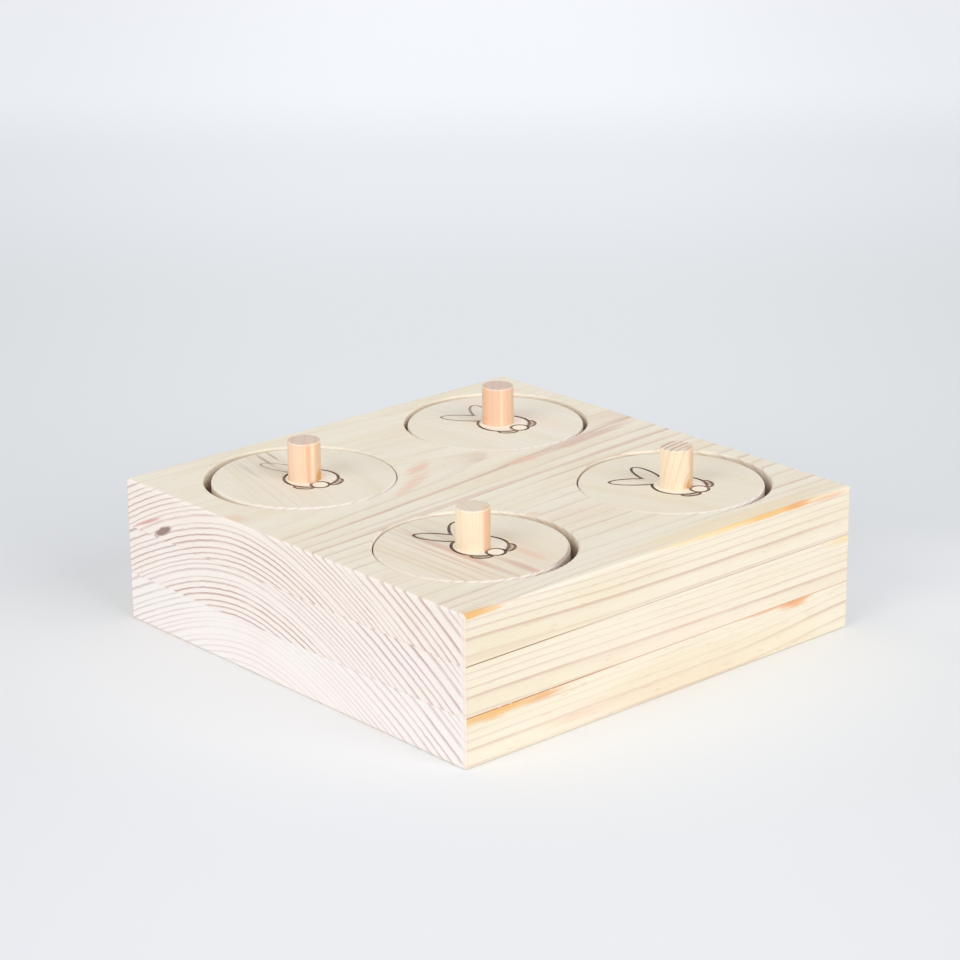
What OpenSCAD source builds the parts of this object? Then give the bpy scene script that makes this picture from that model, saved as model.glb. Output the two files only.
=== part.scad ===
// Wooden puzzle feeder for rabbits.
// Three planed pine boards are glued face to face into a square block. The top board has
// four round pockets and the middle board a narrower round well under each, so that a step
// is left all round. A loose lid drops into each pocket and rests on that step, nearly flush
// with the block, over the food in the well. A dowel peg glued through the lid is its handle.
// Millimetres, +Z up, +X along the grain, the origin under the middle of the block.

/* [Block] */
// Thickness of each of the three boards
board_t = 18; // [12:0.5:28]
// Wood left between a pocket and the outside of the block, with the pockets at even places
edge_wall = 9; // [7:0.5:20]
// Wood left between two neighbouring pockets
pocket_gap = 26; // [10:0.5:50]
// Radius of the sanded outer edges
arris_r = 1; // [0.3:0.1:3]
// Radius of the board edges that meet at a glue line
seam_r = 0.2; // [0.1:0.05:0.5]

/* [Pockets] */
// Diameter of a pocket in the top board
pocket_d = 70; // [56:0.5:90]
// How far each pocket lies from its even place along X: front, right, back, left
pocket_off_x = [1.6, 2, 2.4, 3]; // [-4:0.1:4]
// How far each pocket lies from its even place along Y: front, right, back, left
pocket_off_y = [1.9, 2.9, 2.6, 2.1]; // [-4:0.1:4]
// Width of the step that a lid rests on
ledge_w = 7; // [4:0.5:12]
// Radius of the sanded rim of a pocket and of a well
rim_r = 0.8; // [0.3:0.1:2]

/* [Lids] */
// Gap between a centred lid and the wall of its pocket
lid_gap = 1.6; // [0.6:0.1:2.5]
// How far the face of each lid lies below the top of the block: front, right, back, left
lid_sink = [0.3, 0.4, 0.7, 0.2]; // [0:0.1:3]
// Radius of the sanded edges of a lid
lid_edge_r = 1; // [0.3:0.1:2]
// Share of the gap by which each lid lies off centre: front, right, back, left
lid_shift = [0.75, 0.75, 0.1, 0.8]; // [0:0.05:0.8]
// Direction of that shift, in degrees from +X: front, right, back, left
lid_shift_dir = [150, 160, 138, 318]; // [0:1:360]
// Turn of each lid in its pocket, in degrees: front, right, back, left
lid_turn = [0, 18, 7, -15]; // [-180:1:180]

/* [Pegs] */
// Diameter of the dowel
peg_d = 12; // [8:0.5:16]
// How far each peg stands from the middle of its lid, across the grain: front, right, back, left
peg_across = [0.5, -1.3, 1.4, 0]; // [-4:0.1:4]
// How far each peg stands from the middle of its lid, along the grain: front, right, back, left
peg_along = [-0.1, -2.6, -0.1, -0.8]; // [-4:0.1:4]
// Height of a peg above the face of its lid
peg_rise = 14.5; // [8:0.5:30]
// Radius of the sanded end edges of a peg
peg_edge_r = 0.5; // [0.2:0.1:1.5]
// Room for glue between a peg and its bore
glue_gap = 0.05; // [0.02:0.01:0.2]

/* [Burnt rabbit] */
// Width of the burnt line
line_w = 1.1; // [0.6:0.1:1.6]
// Depth of the burnt line
line_depth = 0.4; // [0.2:0.1:1]
// How far the middle of each rabbit lies from its peg, across the grain: front, right, back, left
rabbit_across = [1.9, -0.1, -0.2, 1.9]; // [-3:0.1:3]
// How far the middle of each rabbit lies from its peg, along the grain: front, right, back, left
rabbit_along = [-1.4, -1.4, -3, -1.3]; // [-3:0.1:3]
// Radius of the rabbit's round body
body_r = 9.8; // [9:0.1:12]
// Length of an ear
ear_len = 19.5; // [18:0.5:22]
// Width of an ear
ear_w = 6.9; // [5:0.1:8]
// How far the middle of an ear lies to the side of the body's middle
ear_out = 4.2; // [3.5:0.1:5]
// How far the middle of an ear lies above the body's middle
ear_up = 15.2; // [14:0.1:17]
// Lean of an ear from upright, in degrees
ear_lean = 33; // [20:1:45]
// Radius of the tail
tail_r = 3.3; // [2:0.1:4]
// How far the tail lies below the body's middle
tail_down = 8; // [6:0.5:11]
// Length of a hind foot
foot_len = 7; // [5:0.5:9]
// Width of a hind foot
foot_w = 4; // [3:0.5:6]
// How far a hind foot lies from the body's middle
foot_reach = 10; // [9:0.1:12]
// Angle of a hind foot from straight down, in degrees
foot_spread = 39; // [28:1:60]

/* [Hidden] */
$fn = 96;
// Overrun of a cutter past the face that it opens
over = 0.2;
pocket_pitch = pocket_d + pocket_gap;
block_side = pocket_pitch + pocket_d + 2 * edge_wall;
well_d = pocket_d - 2 * ledge_w;
lid_d = pocket_d - 2 * lid_gap;
peg_bore_d = peg_d + 2 * glue_gap;
// Corner of the block that each pocket is nearest to: front, right, back, left
POCKETS = [[-1, -1], [1, -1], [1, 1], [-1, 1]];
FRONT = 0;
RIGHT = 1;
BACK = 2;
LEFT = 3;
PINE = [0.91, 0.86, 0.76];
PALE_PINE = [0.93, 0.89, 0.80];
DOWEL = [0.96, 0.82, 0.64];

function pocket_centre(which) =
    POCKETS[which] * pocket_pitch / 2 + [pocket_off_x[which], pocket_off_y[which]];

function lid_t(which) = board_t - lid_sink[which];

function peg_at(which) = [peg_across[which], peg_along[which]];

function rabbit_at(which) = peg_at(which) + [rabbit_across[which], rabbit_along[which]];

function lid_lie(which) =
    lid_shift[which] * lid_gap * [cos(lid_shift_dir[which]), sin(lid_shift_dir[which])];

// Square with rounded corners, seen from above
module eased_square(side, r) {
    square([side, side - 2 * r], center = true);
    square([side - 2 * r, side], center = true);
    for (x = [-1, 1], y = [-1, 1])
        translate([x, y] * (side / 2 - r)) circle(r = r);
}

// Side view of a board with its upper and lower edges rounded
module edge_profile(width, thick, top_r, bottom_r) {
    translate([-width / 2, bottom_r]) square([width, thick - top_r - bottom_r]);
    translate([top_r - width / 2, thick - top_r]) square([width - 2 * top_r, top_r]);
    translate([bottom_r - width / 2, 0]) square([width - 2 * bottom_r, bottom_r]);
    for (x = [-1, 1]) {
        translate([x * (width / 2 - top_r), thick - top_r]) circle(r = top_r);
        translate([x * (width / 2 - bottom_r), bottom_r]) circle(r = bottom_r);
    }
}

// One planed board with its upright corners and its upper and lower edges rounded
module board_blank(top_r, bottom_r) {
    intersection() {
        linear_extrude(board_t) eased_square(block_side, arris_r);
        rotate([90, 0, 0]) linear_extrude(block_side, center = true)
            edge_profile(block_side, board_t, top_r, bottom_r);
        rotate([90, 0, 90]) linear_extrude(block_side, center = true)
            edge_profile(block_side, board_t, top_r, bottom_r);
    }
}

// Cutter for a round hole through a board, with its upper rim sanded round
module hole_cut(d) {
    rotate_extrude() {
        translate([0, -over]) square([d / 2, board_t + 2 * over]);
        difference() {
            translate([0, board_t - rim_r]) square([d / 2 + rim_r, rim_r + over]);
            translate([d / 2 + rim_r, board_t - rim_r]) circle(r = rim_r);
        }
    }
}

// Round slice of wood with its two end edges sanded round
module eased_disc(d, thick, r) {
    rotate_extrude() {
        square([d / 2 - r, thick]);
        translate([0, r]) square([d / 2, thick - 2 * r]);
        for (z = [r, thick - r])
            intersection() {
                translate([d / 2 - r, z]) circle(r = r);
                translate([0, z - r]) square([d / 2, 2 * r]);
            }
    }
}

// Oval of the given length, which lies along Y, and width, grown by grow all round
module oval(length, width, grow) {
    scale([(width / 2 + grow) / (length / 2 + grow), 1]) circle(r = length / 2 + grow);
}

// Round body and two ears of a rabbit seen from behind, grown by grow all round
module body_and_ears(grow) {
    circle(r = body_r + grow);
    for (side = [-1, 1])
        translate([side * ear_out, ear_up]) rotate(-side * ear_lean) oval(ear_len, ear_w, grow);
}

// Two hind feet below the body, each lying along its edge, grown by grow all round
module feet(grow) {
    for (side = [-1, 1])
        rotate(side * foot_spread) translate([0, -foot_reach]) rotate(90) oval(foot_len, foot_w, grow);
}

// The burnt line: body and ears in one outline, the feet behind it, the round tail before it
module rabbit_line() {
    half_w = line_w / 2;
    difference() {
        union() {
            difference() {
                body_and_ears(half_w);
                body_and_ears(-half_w);
            }
            difference() {
                feet(half_w);
                feet(-half_w);
                circle(r = body_r);
            }
        }
        translate([0, -tail_down]) circle(r = tail_r);
    }
    translate([0, -tail_down]) difference() {
        circle(r = tail_r + half_w);
        circle(r = tail_r - half_w);
    }
}

// Moves a lid or peg into its pocket, onto the step, as it lies
module in_pocket(which) {
    at = pocket_centre(which) + lid_lie(which);
    translate([at.x, at.y, 2 * board_t]) rotate(lid_turn[which]) children();
}

module base_board() {
    color(PINE) board_blank(seam_r, arris_r);
}

module middle_board() {
    color(PINE) translate([0, 0, board_t]) difference() {
        board_blank(seam_r, seam_r);
        for (which = [FRONT : LEFT]) translate(pocket_centre(which)) hole_cut(well_d);
    }
}

module top_board() {
    color(PINE) translate([0, 0, 2 * board_t]) difference() {
        board_blank(arris_r, seam_r);
        for (which = [FRONT : LEFT]) translate(pocket_centre(which)) hole_cut(pocket_d);
    }
}

module lid(which) {
    color(PALE_PINE) in_pocket(which) difference() {
        eased_disc(lid_d, lid_t(which), lid_edge_r);
        translate([0, 0, -over]) translate(peg_at(which))
            cylinder(d = peg_bore_d, h = lid_t(which) + 2 * over);
        translate([0, 0, lid_t(which) - line_depth]) translate(rabbit_at(which))
            linear_extrude(line_depth + over) rabbit_line();
    }
}

module peg(which) {
    color(DOWEL) in_pocket(which) translate(peg_at(which))
        eased_disc(peg_d, lid_t(which) + peg_rise, peg_edge_r);
}

base_board();
middle_board();
top_board();
lid(FRONT);  // lid_front
lid(RIGHT);  // lid_right
lid(BACK);  // lid_back
lid(LEFT);  // lid_left
peg(FRONT);  // peg_front
peg(RIGHT);  // peg_right
peg(BACK);  // peg_back
peg(LEFT);  // peg_left
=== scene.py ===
"""Looks of a wooden puzzle feeder: a block of three pine boards with four loose, pegged lids."""
import math

import bpy
import numpy as np
from mathutils import Matrix, Vector


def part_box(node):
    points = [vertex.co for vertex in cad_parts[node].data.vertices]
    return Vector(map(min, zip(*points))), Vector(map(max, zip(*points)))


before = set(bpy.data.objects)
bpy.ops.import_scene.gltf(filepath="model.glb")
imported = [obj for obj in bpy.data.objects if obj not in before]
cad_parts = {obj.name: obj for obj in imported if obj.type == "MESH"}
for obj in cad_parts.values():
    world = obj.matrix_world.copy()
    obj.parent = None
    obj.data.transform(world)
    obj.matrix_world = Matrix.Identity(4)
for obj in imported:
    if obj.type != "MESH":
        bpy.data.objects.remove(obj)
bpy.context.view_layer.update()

# The view.
# A long lens a little above the block, which stands with one corner towards it, so that the
# end grain shows on the left, the long grain on the right, and the lids on top.
camera_at = Vector((-0.6877, -0.7691, 0.4107))
camera_looks_at = Vector((0.0519, 0.0616, 0.0270))
camera_roll = math.radians(-0.48)
camera_data = bpy.data.cameras.new("camera")
camera_data.lens = 114.3
camera_data.sensor_width = 36
camera = bpy.data.objects.new("camera", camera_data)
camera.location = camera_at
camera.rotation_mode = "QUATERNION"
view_turn = (camera_looks_at - camera_at).to_track_quat("-Z", "Y")
camera.rotation_quaternion = view_turn @ Matrix.Rotation(camera_roll, 3, "Z").to_quaternion()
bpy.context.scene.collection.objects.link(camera)
bpy.context.scene.camera = camera
bpy.context.scene.view_settings.view_transform = "Standard"

# The table and the light.
# A seamless sheet of pale paper, lit by two broad, low lamps to the left and right of the
# lens and by an even pale surround, which leaves soft double shadows behind each peg.


def srgb(red, green, blue):
    """A colour as a picture shows it, 0 to 255 a channel, as the linear RGBA that sockets take."""
    share = np.array([red, green, blue]) / 255
    linear = np.where(share <= 0.04045, share / 12.92, ((share + 0.055) / 1.055) ** 2.4)
    return (*linear.tolist(), 1.0)


def put(tree, kind, ins=None, **props):
    """Adds a node: props are set on it, and ins gives inputs, by name or number, as values or sockets."""
    node = tree.nodes.new("ShaderNode" + kind)
    for name, value in props.items():
        setattr(node, name, value)
    for key, value in (ins or {}).items():
        if isinstance(value, bpy.types.NodeSocket):
            tree.links.new(value, node.inputs[key])
        else:
            node.inputs[key].default_value = value
    return node


def calc(tree, operation, *terms):
    """One sum on numbers, such as ADD or FLOOR, and its result."""
    return put(tree, "Math", dict(enumerate(terms)), operation=operation).outputs[0]


def times(tree, *terms):
    """The product of several numbers."""
    product = terms[0]
    for term in terms[1:]:
        product = calc(tree, "MULTIPLY", product, term)
    return product


def ease(tree, value, low, high, start=0.0, end=1.0):
    """A smooth step: start where value is under low, end where it is over high."""
    ins = {0: value, 1: low, 2: high, 3: start, 4: end}
    return put(tree, "MapRange", ins, interpolation_type="SMOOTHSTEP").outputs[0]


def tint(tree, share, under, over, how="MIX"):
    """Two colours mixed: under where share is 0, over where it is 1."""
    return put(tree, "Mix", {0: share, 6: under, 7: over}, data_type="RGBA", blend_type=how).outputs[2]


def noise(tree, vector, stretch, detail=2.0, roughness=0.5):
    """Smooth noise, 0 to 1, with stretch giving its waves to the metre along each axis."""
    spread = put(tree, "Mapping", {"Vector": vector, "Scale": stretch}).outputs[0]
    ins = {"Vector": spread, "Scale": 1.0, "Detail": detail, "Roughness": roughness}
    return put(tree, "TexNoise", ins).outputs["Fac"]


def along(tree, vector, direction):
    """How far a point lies along a direction."""
    return put(tree, "VectorMath", {0: vector, 1: direction}, operation="DOT_PRODUCT").outputs["Value"]


def distance(tree, vector, centre, stretch=(1, 1, 1)):
    """How far a point lies from a centre, with each axis first multiplied by stretch."""
    offset = put(tree, "VectorMath", {0: vector, 1: centre}, operation="SUBTRACT").outputs[0]
    offset = put(tree, "VectorMath", {0: offset, 1: stretch}, operation="MULTIPLY").outputs[0]
    return put(tree, "VectorMath", {0: offset}, operation="LENGTH").outputs["Value"]


def surface(name):
    """A new node material: the material, its tree and its Principled shader."""
    material = bpy.data.materials.new(name)
    material.use_nodes = True
    return material, material.node_tree, material.node_tree.nodes["Principled BSDF"]


def grid_mesh(name, points):
    """A mesh over a rows by columns by 3 array of points, one quad to each cell."""
    rows, columns = points.shape[:2]
    corner = np.arange(rows * columns).reshape(rows, columns)
    quads = np.stack([corner[:-1, :-1], corner[:-1, 1:], corner[1:, 1:], corner[1:, :-1]], -1)
    mesh = bpy.data.meshes.new(name)
    mesh.from_pydata(points.reshape(-1, 3).tolist(), [], quads.reshape(-1, 4).tolist())
    piece = bpy.data.objects.new(name, mesh)
    bpy.context.scene.collection.objects.link(piece)
    return piece


table_reach = 4.0
across = np.linspace(-table_reach, table_reach, 9)
table_x, table_y = np.meshgrid(across, across)
table = grid_mesh("table", np.stack([table_x, table_y, np.zeros_like(table_x)], -1))

# Paper tones by distance along the line of sight from under the lens, in metres: the pale paper with
# painted light on it, dimmest in the middle distance and painted brighter far off
paper_tones_and_painted_light = [
    (0.75, srgb(245, 245, 245)),
    (1.00, srgb(242, 242, 240)),
    (1.20, srgb(235, 236, 235)),
    (1.45, srgb(234, 236, 235)),
    (1.75, srgb(243, 244, 244)),
    (2.00, srgb(254, 255, 255)),
    (2.40, srgb(255, 255, 255)),
]
paper, tree, shader = surface("paper")
line_of_sight = (camera_looks_at - camera_at).to_2d().normalized().to_3d()
sideways = line_of_sight.cross(Vector((0, 0, 1)))
spot = put(tree, "TexCoord").outputs["Object"]
near, far = paper_tones_and_painted_light[0][0], paper_tones_and_painted_light[-1][0]
from_lens = -camera_at.dot(line_of_sight)
away = along(tree, spot, line_of_sight)
away = put(tree, "MapRange", {0: away, 1: near - from_lens, 2: far - from_lens}).outputs[0]
ramp = put(tree, "ValToRGB", {0: away})
ramp.color_ramp.interpolation = "EASE"
while len(ramp.color_ramp.elements) < len(paper_tones_and_painted_light):
    ramp.color_ramp.elements.new(0.5)
for stop, (reach, tone) in zip(ramp.color_ramp.elements, paper_tones_and_painted_light):
    stop.position = (reach - near) / (far - near)
    stop.color = tone
# Painted light on the paper: it is paler close to the block as a painted pool of bounced light, paler by
# its right-hand corner where a painted lift lightens the shadow, and duller off to the sides as painted
# fall-off of light
painted_lift_centre = (0.155, -0.085, 0)
painted_pool_by_block = ease(tree, distance(tree, spot, (0, 0, 0)), 0.10, 0.20, 1.05, 1.0)
painted_lift_by_corner = ease(tree, distance(tree, spot, painted_lift_centre), 0.02, 0.07, 1.07, 1.0)
aside = calc(tree, "ABSOLUTE", along(tree, spot, sideways))
painted_light_pool = times(tree, painted_pool_by_block, painted_lift_by_corner, ease(tree, aside, 0.05, 0.36, 1.0, 0.90))
tone = put(tree, "VectorMath", {0: ramp.outputs[0], "Scale": painted_light_pool}, operation="SCALE").outputs[0]
tree.links.new(tone, shader.inputs["Base Color"])
shader.inputs["Roughness"].default_value = 0.9
shader.inputs["Specular IOR Level"].default_value = 0.1
table.data.materials.append(paper)

# Bearing from the block, in degrees from -Y towards +X, height and strength of each lamp
lamps = {"lamp_right": (8, 26, 1.09), "lamp_left": (-88, 26, 0.99)}
lamp_breadth = math.radians(42)
for name, (bearing, height, strength) in lamps.items():
    lamp_data = bpy.data.lights.new(name, "SUN")
    lamp_data.energy = strength
    lamp_data.angle = lamp_breadth
    lamp_data.color = (1.0, 0.985, 0.965)
    lamp = bpy.data.objects.new(name, lamp_data)
    turn, rise = math.radians(bearing), math.radians(height)
    to_lamp = Vector((math.sin(turn) * math.cos(rise), -math.cos(turn) * math.cos(rise), math.sin(rise)))
    lamp.rotation_mode = "QUATERNION"
    lamp.rotation_quaternion = to_lamp.to_track_quat("Z", "Y")
    bpy.context.scene.collection.objects.link(lamp)

# Strength of the surround as light on the block, and where it is seen itself
surround_light, surround_seen = 0.72, 0.97
surround = bpy.data.worlds.new("surround")
surround.use_nodes = True
tree = surround.node_tree
sky = tree.nodes["Background"]
sky.inputs["Color"].default_value = srgb(240, 244, 252)
rays = put(tree, "LightPath").outputs
seen = calc(tree, "MAXIMUM", rays["Is Camera Ray"], rays["Is Glossy Ray"])
seen = calc(tree, "MAXIMUM", seen, rays["Is Transmission Ray"])
strength = put(tree, "MapRange", {0: seen, 3: surround_light, 4: surround_seen}).outputs[0]
tree.links.new(strength, sky.inputs["Strength"])
bpy.context.scene.world = surround

# The three boards.
# Planed pine, sawn one after the other from the same flat-sawn plank, so that their rings
# nearly repeat, and glued face to face with the grain of all three along X.


def new_group(name, inputs, outputs):
    """An empty shader group with the given sockets, each a (name, kind) pair, and its two ends."""
    tree = bpy.data.node_groups.new(name, "ShaderNodeTree")
    for label, kind in inputs:
        tree.interface.new_socket(label, in_out="INPUT", socket_type="NodeSocket" + kind)
    for label, kind in outputs:
        tree.interface.new_socket(label, in_out="OUTPUT", socket_type="NodeSocket" + kind)
    return tree, tree.nodes.new("NodeGroupInput").outputs, tree.nodes.new("NodeGroupOutput").inputs


def pine_group():
    """Sawn pine as a solid, from a count of its rings at each point, with its fibres along X.

    Each ring goes from pale early wood to a thin band of dark late wood and ends there, as dark as
    its weight says. Across the cut fibres, where End is 1, the bands are sharper and redder and the
    ground is whiter. Fibre streaks, short resin canals and a slow blush lie over it.
    """
    tree, given, result = new_group(
        "sawn_pine",
        [("Vector", "Vector"), ("End", "Float"), ("Rings", "Float"), ("Long Weight", "Float"),
         ("End Weight", "Float"), ("Ground", "Color"), ("Band", "Color"), ("Blush", "Color"),
         ("End Ground", "Color"), ("End Band", "Color")],
        [("Color", "Color"), ("Roughness", "Float"), ("Height", "Float")],
    )
    at = given["Vector"]
    share = calc(tree, "FRACT", given["Rings"])
    stop = ease(tree, share, 0.93, 1.0, 1.0, 0.0)
    soft = ease(tree, share, 0.40, 0.93, 0.0, 0.25)
    sharp = ease(tree, share, 0.70, 0.90, 0.0, 0.75)
    patches = ease(tree, noise(tree, at, (12.0, 80.0, 80.0), 3.0), 0.36, 0.62, 0.35, 1.0)
    band = times(tree, calc(tree, "ADD", soft, sharp), stop, patches, given["Long Weight"])
    faded = ease(tree, noise(tree, at, (30.0, 60.0, 60.0), 2.0), 0.30, 0.58, 0.60, 1.0)
    end_band = times(tree, ease(tree, share, 0.56, 0.84), stop, faded, given["End Weight"])

    fibre = noise(tree, at, (45.0, 2400.0, 2400.0), 3.0, 0.6)
    pore = noise(tree, at, (900.0, 3200.0, 3200.0), 2.0, 0.6)
    canal = ease(tree, noise(tree, at, (160.0, 1500.0, 1500.0), 1.0), 0.66, 0.74)
    blush = ease(tree, noise(tree, at, (9.0, 48.0, 48.0), 2.0), 0.52, 0.72)
    dull = ease(tree, noise(tree, at, (11.0, 75.0, 75.0), 3.0), 0.42, 0.68)
    long_tone = tint(tree, times(tree, blush, 0.45), given["Ground"], given["Blush"])
    long_tone = tint(tree, dull, long_tone, srgb(251, 248, 241), "MULTIPLY")
    long_tone = tint(tree, band, long_tone, given["Band"])
    long_tone = tint(tree, ease(tree, fibre, 0.25, 0.75, 0.16, 0.0), long_tone, given["Band"])
    long_tone = tint(tree, times(tree, canal, 0.22), long_tone, given["Band"], "MULTIPLY")
    end_tone = tint(tree, times(tree, blush, 0.12), given["End Ground"], given["Blush"])
    end_tone = tint(tree, end_band, end_tone, given["End Band"])
    end_tone = tint(tree, ease(tree, pore, 0.30, 0.70, 0.12, 0.0), end_tone, given["End Band"])
    tree.links.new(tint(tree, given["End"], long_tone, end_tone), result["Color"])
    grain = put(tree, "Mix", {0: given["End"], 2: fibre, 3: pore}).outputs[0]
    tree.links.new(calc(tree, "MULTIPLY_ADD", band, 0.8, grain), result["Height"])
    tree.links.new(ease(tree, grain, 0.2, 0.8, 0.62, 0.48), result["Roughness"])
    return tree


def strayed(tree, at, slow, quick):
    """How far a ring strays from its place, in metres: slow waves along the log and quick small ones."""
    wide = calc(tree, "SUBTRACT", noise(tree, at, (4.0, 22.0, 22.0)), 0.5)
    small = calc(tree, "SUBTRACT", noise(tree, at, (35.0, 330.0, 330.0)), 0.5)
    return calc(tree, "MULTIPLY_ADD", wide, slow, calc(tree, "MULTIPLY", small, quick))


# Each year of the plank: radius of its late wood in millimetres, and how dark that is along the
# grain and across it
years = [
    (138.6, 0.2, 0.4), (140.7, 0.2, 0.4), (142.8, 0.2, 0.6), (144.9, 0.2, 0.7), (146.8, 0.3, 0.6),
    (148.8, 0.3, 0.7), (151.4, 0.3, 0.65), (153.4, 0.3, 0.75), (155.8, 0.3, 0.5), (157.5, 0.3, 0.3),
    (160.5, 0.3, 0.4), (162.3, 0.5, 0.4), (163.8, 1.0, 0.5), (165.9, 0.35, 0.5), (167.7, 1.0, 0.6),
    (169.8, 0.6, 0.6), (172.1, 0.5, 0.45), (173.8, 0.6, 0.45), (176.4, 0.8, 0.55), (179.7, 0.6, 0.6),
    (183.2, 0.8, 0.5), (186.0, 0.6, 0.6), (188.7, 0.8, 0.6), (192.6, 0.55, 0.68), (197.1, 0.85, 0.4),
    (199.6, 0.6, 0.4), (201.7, 0.4, 0.35), (203.6, 0.5, 0.35), (205.7, 0.3, 0.3), (207.8, 0.2, 0.3),
]
# Depth of the pith below the middle of a board, and the shape of a ring: slope of its flanks, width
# of the bend at its crest, and how much its flanks steepen
pith_drop = 0.150
ring_flank = 0.401
ring_bend = 0.0353
ring_spread = 1.387


def plank_group():
    """The rings of the plank about its pith, the X axis: their count and weights at each point.

    A ring is a crest between two flanks: at y to the side of the pith it has fallen by
    flank * (sqrt(y^2 + bend^2) - bend) + spread * y^2 from its crest, and a point's radius is
    sqrt(z^2 + 2 * drop * fall). The radius strays a little, and its place among the years' radii
    gives the count.
    """
    tree, given, result = new_group(
        "plank_rings", [("Vector", "Vector"), ("Sweep", "Float")],
        [("Rings", "Float"), ("Long Weight", "Float"), ("End Weight", "Float")])
    part = put(tree, "SeparateXYZ", {0: given["Vector"]}).outputs
    square = calc(tree, "MULTIPLY", part[1], part[1])
    flank = calc(tree, "SQRT", calc(tree, "ADD", square, ring_bend ** 2))
    flank = calc(tree, "SUBTRACT", flank, ring_bend)
    fall = calc(tree, "MULTIPLY_ADD", square, ring_spread, calc(tree, "MULTIPLY", flank, ring_flank))
    radius = calc(tree, "MULTIPLY_ADD", fall, 2 * pith_drop, calc(tree, "MULTIPLY", part[2], part[2]))
    radius = calc(tree, "ADD", calc(tree, "SQRT", radius), given["Sweep"])
    radius = calc(tree, "ADD", radius, strayed(tree, given["Vector"], 0.0014, 0.0005))
    first, last = years[0][0], years[-1][0]
    place = put(tree, "MapRange", {0: radius, 1: first / 1000, 2: last / 1000}).outputs[0]
    count = put(tree, "FloatCurve", {"Value": place})
    ramp = put(tree, "ValToRGB", {0: place})
    curve, stops = count.mapping.curves[0], ramp.color_ramp.elements
    while len(stops) < len(years):
        stops.new(1.0)
    for order, (reach, along_grain, across_grain) in enumerate(years):
        spot = (reach - first) / (last - first)
        stops[order].position = spot
        stops[order].color = (along_grain, across_grain, 0, 1)
        if 0 < order < len(years) - 1:
            curve.points.new(spot, order / (len(years) - 1))
    for point in curve.points:
        point.handle_type = "VECTOR"
    count.mapping.update()
    weights = put(tree, "SeparateColor", {0: ramp.outputs[0]}).outputs
    tree.links.new(calc(tree, "MULTIPLY", count.outputs[0], len(years) - 1), result["Rings"])
    tree.links.new(weights[0], result["Long Weight"])
    tree.links.new(weights[1], result["End Weight"])
    return tree


def edge_group():
    """Sanded edges with a painted highlight: paler where the surface leans between flat and upright, by the
    slope of its normal.
    """
    tree, given, result = new_group(
        "sanded_edge_and_highlight", [("Normal", "Vector"), ("Color", "Color"), ("Edge", "Color"), ("Strength", "Float")],
        [("Color", "Color")])
    slope = calc(tree, "ABSOLUTE", put(tree, "SeparateXYZ", {0: given["Normal"]}).outputs[2])
    edge = times(tree, ease(tree, slope, 0.06, 0.30), ease(tree, slope, 0.80, 0.97, 1.0, 0.0))
    edge = times(tree, edge, given["Strength"])
    tree.links.new(tint(tree, edge, given["Color"], given["Edge"]), result["Color"])
    return tree


def stain_group():
    """A stain that soaks along the grain: an oval patch about a centre, frayed into fibres at its rim."""
    tree, given, result = new_group(
        "soaked_stain", [("Fibres", "Vector"), ("Patch", "Vector"), ("Fray", "Float"), ("Color", "Color"),
                         ("Stain", "Color"), ("Strength", "Float")], [("Color", "Color")])
    from_middle = distance(tree, given["Patch"], (0, 0, 0))
    fray = noise(tree, given["Fibres"], (60.0, 900.0, 900.0), 3.0, 0.6)
    from_middle = calc(tree, "MULTIPLY_ADD", calc(tree, "SUBTRACT", fray, 0.5), given["Fray"], from_middle)
    stain = times(tree, ease(tree, from_middle, 0.25, 1.0, 1.0, 0.0), given["Strength"])
    tree.links.new(tint(tree, stain, given["Color"], given["Stain"]), result["Color"])
    return tree


sawn_pine = pine_group()
plank_rings = plank_group()
sanded_edge_and_highlight = edge_group()
soaked_stain = stain_group()


def grain_frame(tree, grain, outward, pith):
    """Object coordinates with X along the grain and the pith on the X axis, and a mask of end grain."""
    grain, outward = Vector(grain).normalized(), Vector(outward).normalized()
    turn = Matrix((grain, outward.cross(grain), outward))
    spot = put(tree, "TexCoord").outputs
    ins = {"Vector": spot["Object"], "Location": -(turn @ Vector(pith)), "Rotation": turn.to_euler("XYZ")}
    vector = put(tree, "Mapping", ins).outputs[0]
    facing = calc(tree, "ABSOLUTE", along(tree, spot["Normal"], grain))
    return vector, ease(tree, facing, 0.25, 0.55)


def finish_wood(tree, shader, color, wood, relief):
    """Joins a wood's colour, gloss and grain to its shader, with the grain standing up by relief metres."""
    tree.links.new(color, shader.inputs["Base Color"])
    tree.links.new(wood["Roughness"], shader.inputs["Roughness"])
    bump = put(tree, "Bump", {"Height": wood["Height"], "Distance": relief, "Strength": 1.0})
    tree.links.new(bump.outputs[0], shader.inputs["Normal"])
    shader.inputs["Specular IOR Level"].default_value = 0.3


def dress(node_name, material):
    """Gives a CAD node one material."""
    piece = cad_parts[node_name]
    piece.data.materials.clear()
    piece.data.materials.append(material)


def stained(tree, fibres, color, centre, reach, stain, strength, fray=1.3, tilt=0, swing=0):
    """Lays one stain over a colour: centre and reach in mm, tilt about X and swing about Z in degrees."""
    spot = put(tree, "TexCoord").outputs["Object"]
    ins = {"Vector": spot, "Location": Vector(centre) / 1000, "Scale": Vector(reach) / 1000,
           "Rotation": (math.radians(tilt), 0, math.radians(swing))}
    patch = put(tree, "Mapping", ins, vector_type="TEXTURE").outputs[0]
    ins = {"Fibres": fibres, "Patch": patch, "Fray": fray, "Color": color, "Stain": stain,
           "Strength": strength}
    return put(tree, "Group", ins, node_tree=soaked_stain).outputs["Color"]


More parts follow.
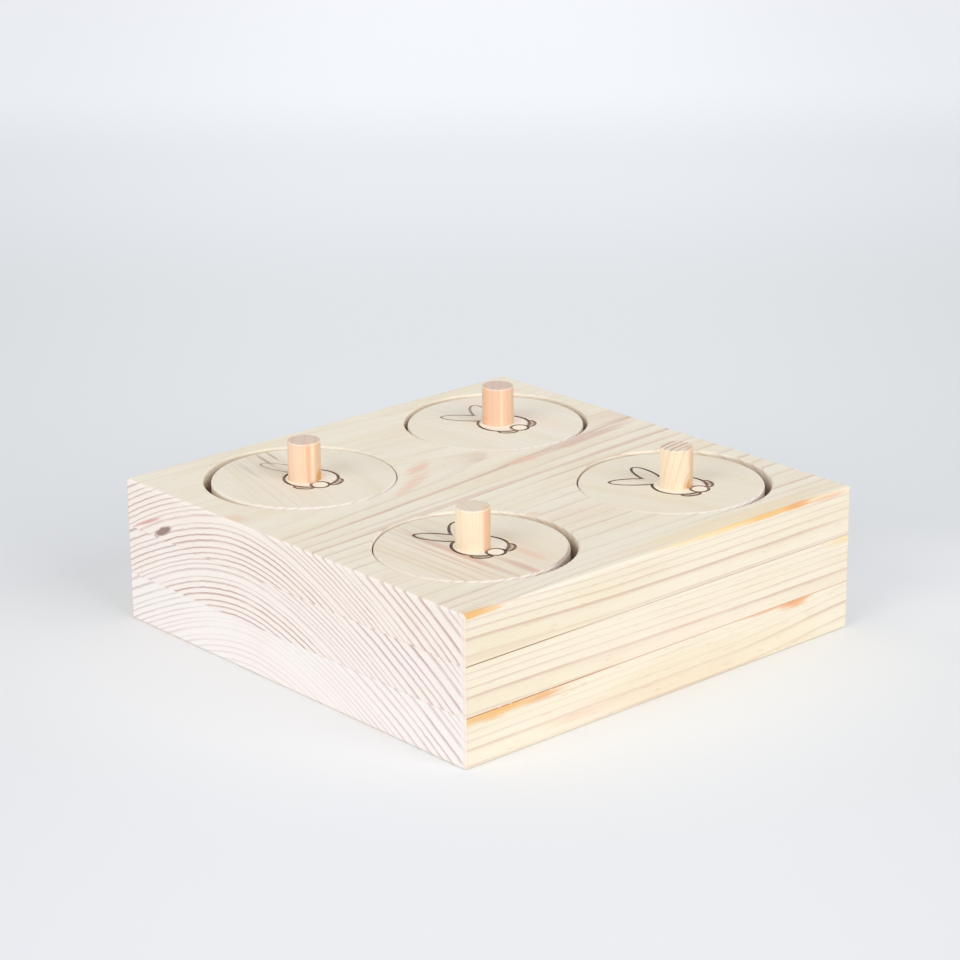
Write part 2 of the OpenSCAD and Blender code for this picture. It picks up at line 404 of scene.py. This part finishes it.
long_ground = srgb(247, 238, 216)
long_band = srgb(216, 186, 164)
pink_blush = srgb(247, 226, 206)
end_grounds = {"base_board": srgb(252, 246, 240), "middle_board": srgb(252, 243, 234),
               "top_board": srgb(252, 242, 231)}
end_band = srgb(170, 126, 120)
cream_fibres_and_highlight = srgb(255, 247, 232)
corner_painted_shade = srgb(248, 242, 236)
glue_brown = srgb(150, 100, 58)
glue_orange = srgb(196, 128, 68)
painted_gap_shade = srgb(168, 122, 84)
resin = srgb(240, 186, 112)
yellow_resin = srgb(250, 218, 160)
red_resin = srgb(236, 160, 98)
beige = srgb(236, 214, 188)
knot_brown = srgb(160, 134, 124)
knot_red = srgb(224, 168, 160)
rosy = srgb(222, 189, 168)
peachy = srgb(240, 204, 176)

half_side = round(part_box("base_board")[1].x, 4)
low_seam = round(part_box("base_board")[1].z, 4)
high_seam = round(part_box("middle_board")[1].z, 4)
grain_relief = 0.00006
# Stains of each board: centre and reach in millimetres, colour and strength, and for some of them how
# frayed they are, their tilt about X and their swing about Z
stains = {
    "base_board": [
        ((-84, -92, 16.9), (26, 4, 2.5), resin, 0.8),
        ((-66, -92, 16.9), (24, 4, 2.1), resin, 0.65),
        ((-58, -92, 16.4), (11, 4, 1.9), red_resin, 0.5),
        ((-44, -92, 5.0), (12, 4, 2.0), peachy, 0.35),
        ((64, -92, 16.8), (11, 3, 2.0), red_resin, 0.75),
        ((52, -92, 17.6), (18, 3, 1.0), red_resin, 0.5),
    ],
    "middle_board": [
        ((90, -92, 34.5), (15, 4, 2.2), yellow_resin, 0.55),
    ],
    "top_board": [
        ((-90, -92, 53.4), (18, 4, 2.0), resin, 0.95),
        ((30, -88, 54.0), (70, 7.0, 3.0), yellow_resin, 0.3),
        ((40, -92, 53.7), (64, 2.4, 1.4), yellow_resin, 0.9),
        ((55, -92, 53.6), (27, 2.4, 2.0), resin, 0.7),
        ((65, -92, 53.4), (9, 3.0, 1.6), red_resin, 0.6),
        ((80, -92, 52.8), (14, 3, 1.6), red_resin, 0.4),
        ((-75, -92, 38.0), (32, 4, 1.8), beige, 0.7),
        ((-92, 79.5, 40.6), (6, 12.0, 0.9), knot_red, 0.9, 0.5, -24),
        ((-92, 70.3, 39.5), (8, 7.0, 1.8), knot_brown, 1.8, 0.6, -28),
        ((58, 12, 54), (44, 3.4, 4), rosy, 0.85, 1.2, 0, 6),
        ((28, 9.5, 54), (13, 3.5, 4), peachy, 0.8, 1.4, 0, 6),
        ((60, -3, 54), (44, 2.2, 4), rosy, 0.6, 1.0, 0, 4.5),
        ((-20, 4, 54), (80, 1.5, 4), rosy, 0.5, 0.9, 0, 6.2),
        ((-20, -8, 54), (80, 1.5, 4), rosy, 0.5, 0.9, 0, 4.3),
        ((-20, 17, 54), (22, 3.6, 4), peachy, 0.7, 1.6, 0, 27),
        ((-8, 28, 54), (12, 4.0, 4), peachy, 0.85, 1.6, 0, 24),
        ((-90, 31, 54), (6, 6, 4), peachy, 0.6, 1.3),
        ((-11, -36, 54), (5, 3, 4), peachy, 0.6, 1.3),
    ],
}
# How far the rings of each board lie below those of the topmost, and to which side its pith lies
ring_places = {"base_board": (0.0050, 0.021), "middle_board": (0.0023, 0.0246), "top_board": (0.0, 0.0246)}
# How far the rings sink along the long face, from where to where, and along the crest
ring_sweeps = {
    "base_board": (0.030, 0.105, -0.0032, 0.0010),
    "middle_board": (-0.100, 0.060, 0.0016, 0.0030),
    "top_board": (-0.100, -0.020, 0.0018, 0.0045),
}
# Weight of the rings on the cut ends near the front, in the middle and at the back of each board
end_weights = {"base_board": (0.85, 0.3, 0.7), "middle_board": (1.0, 1.0, 1.0),
               "top_board": (1.0, 1.0, 1.0)}
# Height of each glue line, how far along the long face it shows dark, and its colour
glue_lines = {low_seam: (-0.030, glue_orange), high_seam: (-0.052, glue_brown)}
# Depth below the outside at which a cut end stops, a face stops, and a pocket or well may begin
end_depth, face_depth, wall_depth = 0.0003, 0.0007, 0.0015
for order, node_name in enumerate(stains):
    low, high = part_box(node_name)
    material, tree, shader = surface(node_name)
    ring_drop, pith_y = ring_places[node_name]
    pith = Vector((order * 0.4, pith_y, (low.z + high.z) / 2 - pith_drop - ring_drop))
    vector, end = grain_frame(tree, (1, 0, 0), (0, 0, 1), pith)
    spot = put(tree, "TexCoord").outputs
    part = put(tree, "SeparateXYZ", {0: spot["Object"]}).outputs
    out_x, out_y = calc(tree, "ABSOLUTE", part[0]), calc(tree, "ABSOLUTE", part[1])
    outer = calc(tree, "MAXIMUM", out_x, out_y)
    inside = calc(tree, "LESS_THAN", outer, half_side - wall_depth)
    end = calc(tree, "MULTIPLY", end, put(tree, "MapRange", {0: inside, 3: 1.0, 4: 0.2}).outputs[0])
    end = calc(tree, "MAXIMUM", end, calc(tree, "GREATER_THAN", out_x, half_side - end_depth))

    sweep_from, sweep_to, long_sweep, crest_sweep = ring_sweeps[node_name]
    at_face = ease(tree, part[0], sweep_from, sweep_to, 0.0, long_sweep)
    at_crest = ease(tree, part[0], -0.12, 0.10, 0.0, crest_sweep)
    sweep = put(tree, "Mix", {0: ease(tree, part[1], -0.085, -0.015), 2: at_face, 3: at_crest}).outputs[0]
    rings = put(tree, "Group", {"Vector": vector, "Sweep": sweep}, node_tree=plank_rings).outputs
    front_weight, middle_weight, back_weight = end_weights[node_name]
    long_weight = times(
        tree, rings["Long Weight"], ease(tree, part[1], -0.0915, -0.085, 1.0, 0.8),
        ease(tree, part[1], -0.03, 0.0, 1.0, 1.4), ease(tree, part[1], 0.018, 0.034, 1.0, 0.25))
    end_weight = times(
        tree, rings["End Weight"], ease(tree, part[1], -0.0918, -0.0885, 0.15, 1.0),
        ease(tree, part[1], -0.08, 0.0, front_weight, middle_weight),
        ease(tree, part[1], 0.045, 0.070, 1.0, back_weight / middle_weight))
    wood = put(tree, "Group", {
        "Vector": vector, "End": end, "Rings": rings["Rings"], "Long Weight": long_weight,
        "End Weight": end_weight,
        "Ground": long_ground, "Band": long_band, "Blush": pink_blush,
        "End Ground": end_grounds[node_name], "End Band": end_band}, node_tree=sawn_pine).outputs
    from_seam = 1.0
    for z in glue_lines:
        aside = calc(tree, "ABSOLUTE", calc(tree, "SUBTRACT", part[2], z))
        from_seam = calc(tree, "MINIMUM", aside, from_seam)
    # Sanded edges with a painted highlight on them: eased edges paler, except in the rounded grooves along
    # the glue lines
    sanding_and_highlight = ease(tree, from_seam, 0.0004, 0.0008, 0.0, 0.22)
    # Painted shade on the rounded upright corners of the block, dimming the highlight they catch
    corner = ease(tree, calc(tree, "MINIMUM", out_x, out_y), 0.0908, 0.0914)
    color = tint(tree, corner, wood["Color"], corner_painted_shade, "MULTIPLY")
    color = put(tree, "Group", {"Normal": spot["Normal"], "Color": color, "Edge": cream_fibres_and_highlight,
                                "Strength": sanding_and_highlight}, node_tree=sanded_edge_and_highlight).outputs["Color"]
    along_grain = calc(tree, "SUBTRACT", 1.0, end)
    for centre, reach, stain, strength, *shape in stains[node_name]:
        on_end = centre[0] == -1000 * half_side
        strength = strength if on_end else times(tree, strength, along_grain)
        color = stained(tree, vector, color, centre, reach, stain, strength, *shape)

    # Painted shade in the pockets: their upright walls darker and browner with depth below the top
    normal = put(tree, "SeparateXYZ", {0: spot["Normal"]}).outputs
    upright = ease(tree, calc(tree, "ABSOLUTE", normal[2]), 0.10, 0.40, 1.0, 0.0)
    depth = ease(tree, part[2], high.z - 0.0015, high.z - 0.009, 0.0, 0.55)
    color = tint(tree, times(tree, inside, upright, depth), color, painted_gap_shade, "MULTIPLY")

    outside = calc(tree, "GREATER_THAN", outer, half_side - face_depth)
    torn = ease(tree, noise(tree, spot["Object"], (300.0, 300.0, 900.0), 1.0), 0.72, 0.78)
    for z, (dark_to, glue) in glue_lines.items():
        if low.z - 0.001 < z < high.z + 0.001:
            from_line = calc(tree, "ABSOLUTE", calc(tree, "SUBTRACT", part[2], z))
            line = ease(tree, from_line, 0.0001, 0.0003, 1.0, 0.0)
            smear = ease(tree, part[0], dark_to - 0.015, dark_to + 0.015, 0.8, 0.3)
            smear = put(tree, "Mix", {0: end, 2: smear, 3: 0.0}).outputs[0]
            color = tint(tree, times(tree, line, outside, smear), color, glue)
            fringe = ease(tree, from_line, 0.0003, 0.0009, 0.7, 0.0)
            fringe = times(tree, fringe, outside, torn, along_grain)
            color = tint(tree, fringe, color, cream_fibres_and_highlight)
    finish_wood(tree, shader, color, wood, grain_relief)
    dress(node_name, material)

# The lids.
# Discs of the same pine, lying loose in their pockets with the grain across that of the block,
# and each with a rabbit burnt into its face round the peg.


def round_rings(tree, at, width, wander, taper):
    """Rings of a plain round log about the X axis: their count at each point, and a chance weight for each.

    The radius strays by wander, grows by taper along the log, and is divided by a ring width that
    varies slowly from year to year.
    """
    radius = calc(tree, "ADD", distance(tree, at, (0, 0, 0), (0, 1, 1)), strayed(tree, at, wander, 0.0005))
    radius = calc(tree, "MULTIPLY_ADD", put(tree, "SeparateXYZ", {0: at}).outputs[0], taper, radius)
    ins = {"W": calc(tree, "MULTIPLY", radius, 120.0), "Scale": 1.0, "Detail": 1.0}
    growth = put(tree, "TexNoise", ins, noise_dimensions="1D").outputs[0]
    rings = calc(tree, "MULTIPLY_ADD", growth, 0.9, calc(tree, "DIVIDE", radius, width))
    ring = calc(tree, "FLOOR", rings)
    chance = put(tree, "TexWhiteNoise", {"W": ring}, noise_dimensions="1D").outputs["Value"]
    return rings, put(tree, "MapRange", {0: chance, 3: 0.42, 4: 1.0}).outputs[0]


lid_end = srgb(252, 242, 234)
rabbit_inside_tone = srgb(255, 246, 228)
burnt_dark = srgb(104, 80, 62)
burnt_pale = srgb(164, 134, 106)
grey_streak = srgb(196, 180, 158)
pink_streak = srgb(224, 188, 166)
singed_and_shade_brown = srgb(132, 100, 76)
amber = srgb(216, 158, 84)
# Turn of each lid in degrees, from its peg to the middle of its rabbit in millimetres across and
# along the grain, its ground, weight of its rings, place along the plank, and how dark its ears are
lids = {
    "front": (0, (1.9, -1.4), srgb(245, 234, 212), 0.75, 0.0, 1.0),
    "right": (18, (-0.1, -1.4), srgb(244, 234, 211), 0.12, 0.35, 1.0),
    "back": (7, (-0.2, -3.0), srgb(245, 238, 219), 0.15, 0.62, 0.6),
    "left": (-15, (1.9, -1.3), srgb(244, 235, 214), 0.3, 0.91, 0.3),
}
# Streaks and stains of each lid
lid_stains = {
    "front": [
        ((-62.2, -48, 54), (0.7, 40, 5), pink_streak, 0.6, 0.6),
        ((-60.0, -50, 54), (0.8, 36, 5), pink_streak, 0.7, 0.6),
        ((-55.6, -48, 54), (2.0, 44, 5), pink_streak, 0.9, 0.6),
        ((-47.4, -72, 54), (2.2, 16, 5), pink_streak, 0.9, 0.6),
        ((-37.5, -64, 54), (3.0, 12, 5), peachy, 0.8, 0.9),
    ],
    "right": [],
    "back": [],
    "left": [
        ((-42.6, 74, 54), (1.0, 11, 5), grey_streak, 1.0, 0.7, 0, -12),
        ((-37.6, 76, 54), (1.0, 9, 5), grey_streak, 0.9, 0.7, 0, -12),
        ((-54.0, 70, 54), (1.6, 16, 5), grey_streak, 0.3, 0.9, 0, -12),
        ((-37.4, 46.4, 54), (1.5, 3.0, 4), amber, 1.2, 0.6, 0, -41.7),
    ],
}
lid_pith_drop, lid_pith_aside = 0.150, 0.025
rabbit_body_r = 0.0098
rabbit_tail_r = 0.0033
rabbit_tail_down = 0.008
rabbit_foot_reach = 0.0100
rabbit_foot_spread = math.radians(39)
for place, (degrees, from_peg, ground, contrast, plank, ears) in lids.items():
    node_name = "lid_" + place
    low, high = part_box(node_name)
    centre = (low + high) / 2
    peg_low, peg_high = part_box("peg_" + place)
    turn = math.radians(degrees)
    across_grain = Vector((math.cos(turn), math.sin(turn), 0))
    grain = Vector((-math.sin(turn), math.cos(turn), 0))
    material, tree, shader = surface(node_name)
    pith = Vector((centre.x, centre.y, high.z - lid_pith_drop))
    pith += lid_pith_aside * across_grain - plank * grain
    vector, end = grain_frame(tree, grain, (0, 0, 1), pith)
    spot = put(tree, "TexCoord").outputs
    part = put(tree, "SeparateXYZ", {0: spot["Object"]}).outputs
    rings, weight = round_rings(tree, vector, 0.0010, 0.0010, 0.0025)
    aside = calc(tree, "ABSOLUTE", along(tree, vector, (0, 1, 0)))
    long_weight = times(tree, weight, contrast, ease(tree, aside, 0.012, 0.035, 0.25, 1.0))
    wood = put(tree, "Group", {
        "Vector": vector, "End": end, "Rings": rings, "Long Weight": long_weight,
        "End Weight": times(tree, weight, 0.6),
        "Ground": ground, "Band": long_band, "Blush": pink_blush,
        "End Ground": lid_end, "End Band": end_band}, node_tree=sawn_pine).outputs
    body_at = (peg_low + peg_high) / 2 + (from_peg[0] * across_grain + from_peg[1] * grain) / 1000
    from_body = distance(tree, spot["Object"], body_at, (1, 1, 0))
    tail_at = body_at - rabbit_tail_down * grain
    from_tail = distance(tree, spot["Object"], tail_at, (1, 1, 0))
    # The lid is paler and warmer inside the rabbit's body and tail
    pale = calc(tree, "MAXIMUM", ease(tree, from_body, rabbit_body_r - 0.0015, rabbit_body_r, 0.75, 0.0),
                ease(tree, from_tail, rabbit_tail_r - 0.0005, rabbit_tail_r, 0.85, 0.0))
    face = ease(tree, part[2], high.z - 0.0015, high.z - 0.0012)
    color = wood["Color"]
    for stain in lid_stains[place]:
        color = stained(tree, vector, color, *stain)
    for foot in (-1, 1):
        swing = foot * rabbit_foot_spread
        foot_at = body_at + rabbit_foot_reach * Matrix.Rotation(turn + swing, 3, "Z") @ Vector((0, -1, 0))
        color = stained(tree, vector, color, foot_at * 1000, (4.2, 2.6, 20), singed_and_shade_brown, 0.6, 1.6,
                        0, degrees + math.degrees(swing))
    color = tint(tree, times(tree, pale, face), color, rabbit_inside_tone)
    from_middle = distance(tree, spot["Object"], centre, (1, 1, 0))
    lid_r = (high.x - low.x) / 2
    within = calc(tree, "LESS_THAN", from_middle, lid_r - 0.0025)
    sunk = ease(tree, part[2], high.z - 0.0001, high.z - 0.00002, 1.0, 0.0)
    scorch = noise(tree, spot["Object"], (160.0, 160.0, 160.0), 3.0)
    scorch = tint(tree, ease(tree, scorch, 0.35, 0.65), burnt_dark, burnt_pale)
    heat = ease(tree, from_body, rabbit_body_r + 0.001, rabbit_body_r + 0.005, 1.0, ears)
    color = tint(tree, times(tree, within, face, sunk, heat), color, scorch)
    # Painted shade on the lid's edge in its gap: darker and browner with depth below its face
    rim = calc(tree, "SUBTRACT", 1.0, within)
    side = ease(tree, part[2], high.z - 0.0015, high.z - 0.008, 0.0, 0.45)
    color = tint(tree, times(tree, rim, side), color, painted_gap_shade, "MULTIPLY")
    # Sanded edges with a painted highlight: the lid's eased edges paler
    color = put(tree, "Group", {"Normal": spot["Normal"], "Color": color, "Edge": cream_fibres_and_highlight,
                                "Strength": 0.35}, node_tree=sanded_edge_and_highlight).outputs["Color"]
    # Painted shade on the front lid's rim towards the lower right, where it lies in a shadowed gap
    if place == "front":
        painted_rim_shade = ease(tree, from_middle, lid_r - 0.0012, lid_r - 0.0006, 0.0, 0.6)
        color = stained(tree, vector, color, (-31, -72, 53.5), (17, 14, 6), singed_and_shade_brown, painted_rim_shade, 0.3)
    finish_wood(tree, shader, color, wood, grain_relief)
    dress(node_name, material)

# The pegs.
# Lengths of turned pine dowel, glued through the lids, with the grain upright.
peg_end_band = srgb(176, 142, 116)
reddish = srgb(244, 190, 154)
painted_shade_tan = srgb(226, 190, 154)
pale_stripe = srgb(255, 236, 200)
# Ground, band, colour of the cut top, ring width, bearing of the rings, lean of the grain, weights
pegs = {
    "front": (srgb(252, 236, 207), srgb(240, 204, 164), srgb(240, 224, 199), 0.0011, -16, 0, 0.6, 0.6),
    "right": (srgb(253, 236, 209), srgb(238, 196, 150), srgb(243, 222, 198), 0.0024, 100, -12, 0.8, 1.0),
    "back": (srgb(248, 208, 176), srgb(236, 166, 134), srgb(223, 197, 178), 0.0030, -42, 0, 0.8, 0.2),
    "left": (srgb(253, 220, 190), srgb(246, 194, 162), srgb(228, 203, 182), 0.0041, -42, 0, 0.8, 0.2),
}
# Stains of each peg, as seen from the front corner of the block: millimetres to the right of its
# middle line and above its lid, half width and half height, colour and strength
# The stains in the shade colour are painted shade down the sides of each peg as seen from the front corner
peg_stains = {
    "front": [(5.0, 8, 1.9, 26, reddish, 0.9), (5.9, 8, 1.1, 26, painted_shade_tan, 0.8)],
    "right": [(4.6, 0.6, 2.2, 4.2, amber, 0.95), (5.6, 8, 2.6, 26, painted_shade_tan, 0.9)],
    "back": [(-5.7, 8, 1.5, 26, painted_shade_tan, 0.8), (-4.4, 8, 0.9, 20, reddish, 0.6),
             (5.7, 8, 1.5, 26, painted_shade_tan, 0.8), (1.2, 6, 0.6, 18, pale_stripe, 0.5)],
    "left": [(1.8, 8, 0.9, 20, reddish, 0.9), (3.2, 8, 0.6, 16, pale_stripe, 0.5),
             (5.4, 8, 1.6, 26, painted_shade_tan, 0.8), (-5.8, 8, 1.0, 26, painted_shade_tan, 0.5),
             (5.4, 1.5, 1.4, 4.0, amber, 0.9)],
}
to_right = Vector((0.747, -0.665, 0))
to_front = Vector((-0.665, -0.747, 0))
right_bearing = -41.7
peg_pith_aside = 0.030
peg_relief = 0.00004
for place, (ground, band, top, width, bearing, lean, contrast, end_contrast) in pegs.items():
    node_name = "peg_" + place
    low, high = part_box(node_name)
    centre = (low + high) / 2
    turn = math.radians(bearing)
    outward = Vector((math.cos(turn), math.sin(turn), 0))
    tilt = math.radians(lean)
    grain = math.cos(tilt) * Vector((0, 0, 1)) + math.sin(tilt) * outward
    outward = outward - outward.dot(grain) * grain
    material, tree, shader = surface(node_name)
    vector, end = grain_frame(tree, grain, outward, centre - peg_pith_aside * outward)
    spot = put(tree, "TexCoord").outputs
    rings, weight = round_rings(tree, vector, width, 0.0008, 0.01)
    wood = put(tree, "Group", {
        "Vector": vector, "End": end, "Rings": rings, "Long Weight": times(tree, weight, contrast),
        "End Weight": times(tree, weight, end_contrast),
        "Ground": ground, "Band": band, "Blush": band,
        "End Ground": top, "End Band": peg_end_band}, node_tree=sawn_pine).outputs
    color = wood["Color"]
    lid_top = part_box("lid_" + place)[1].z
    peg_r = (high.x - low.x) / 2
    for aside, above, half_width, half_height, stain, strength in peg_stains[place]:
        aside_m = aside / 1000
        on_side = centre + aside_m * to_right + math.sqrt(peg_r ** 2 - aside_m ** 2) * to_front
        on_side.z = lid_top + above / 1000
        color = stained(tree, vector, color, on_side * 1000, (half_width * 1.6, 3.5, half_height), stain,
                        strength, 0.7, 0, right_bearing)
    # Sanded edges with a painted highlight: the peg's eased edges paler
    color = put(tree, "Group", {"Normal": spot["Normal"], "Color": color, "Edge": cream_fibres_and_highlight,
                                "Strength": 0.4}, node_tree=sanded_edge_and_highlight).outputs["Color"]
    finish_wood(tree, shader, color, wood, peg_relief)
    dress(node_name, material)
